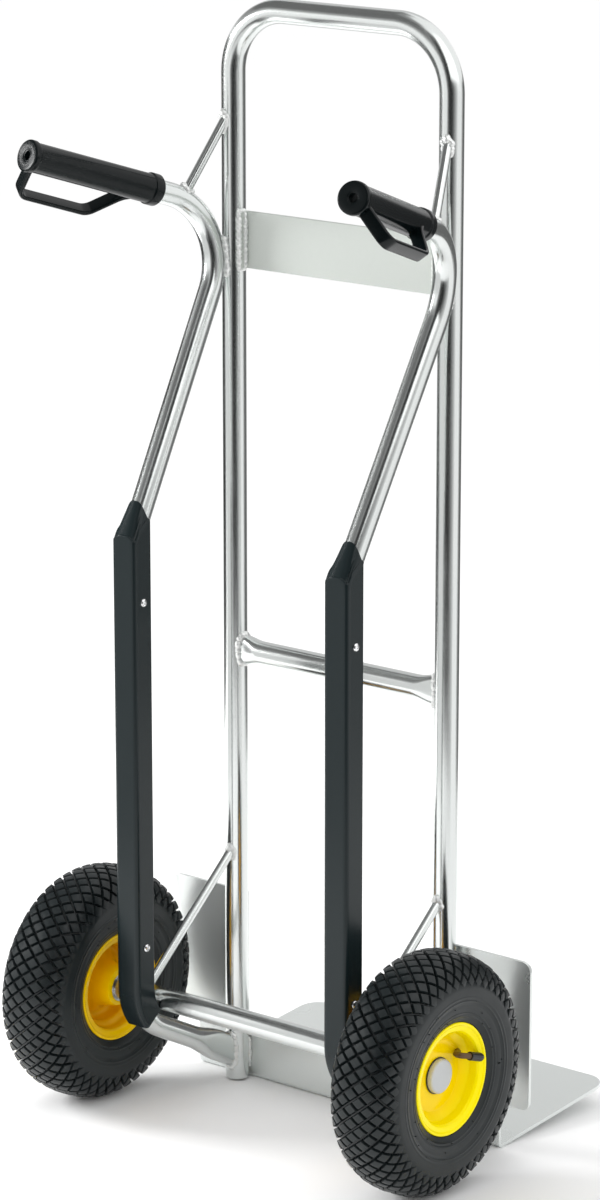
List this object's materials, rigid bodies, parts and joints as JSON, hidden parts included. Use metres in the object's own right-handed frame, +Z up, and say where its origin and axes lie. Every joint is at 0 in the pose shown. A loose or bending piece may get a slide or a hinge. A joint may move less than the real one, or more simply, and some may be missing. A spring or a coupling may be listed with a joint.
{
  "type": "hand truck",
  "caption": "Upright aluminium hand truck with a U-shaped tube frame, bent side tubes with guarded grips, skid covers, an upturned toe plate with wheel guards and air-tyred wheels.",
  "frame": {"origin": "middle of the bounding box's underside, on the floor that the two tyres and the heel of the toe plate stand on", "axes": "+X to the operator's right along the axle, +Y towards the load and the toe plate, +Z up"},
  "size_m": [0.533, 0.5354, 1.2121],
  "materials": {
    "tube": "polished round tube",
    "sheet": "satin mill-finish sheet",
    "skid": "smooth dark grey plastic with a soft shine",
    "screw": "bright plated steel",
    "grip": "black moulded plastic with a soft shine",
    "steel": "turned steel",
    "rim": "gloss yellow paint",
    "tyre": "dark grey rubber with block tread",
    "inner_tube": "butyl rubber with a bent metal valve",
    "cap": "light grey moulded plastic",
    "valve_cap": "black moulded plastic"
  },
  "bodies": {
    "frame": {"main_frame": "tube", "back_plate": "sheet", "middle_crossbar": "tube", "handle_tube_left": "tube", "handle_tube_right": "tube", "upper_brace_left": "tube", "upper_brace_right": "tube", "lower_brace_left": "tube", "lower_brace_right": "tube", "axle_tube": "tube", "toe_plate": "sheet", "skid_left": "skid", "skid_right": "skid", "skid_screws": "screw", "grip_left": "grip", "grip_right": "grip", "axle": "steel", "inner_spacers": "steel", "axle_washers": "steel", "axle_clips": "steel"},
    "wheel_left": {"rim_left": "rim", "tyre_left": "tyre", "inner_tube_left": "inner_tube", "bearings_left": "steel", "valve_cap_left": "valve_cap", "hub_cap_left": "cap"},
    "wheel_right": {"rim_right": "rim", "tyre_right": "tyre", "inner_tube_right": "inner_tube", "bearings_right": "steel", "valve_cap_right": "valve_cap", "hub_cap_right": "cap"}
  },
  "joints": [
    {"name": "wheel_left_spin", "type": "hinge", "parent": "frame", "child": "wheel_left", "pos_m": [-0.2265, -0.1018, 0.13], "axis": [1, 0, 0], "continuous": true},
    {"name": "wheel_right_spin", "type": "hinge", "parent": "frame", "child": "wheel_right", "pos_m": [0.2265, -0.1018, 0.13], "axis": [1, 0, 0], "continuous": true}
  ]
}
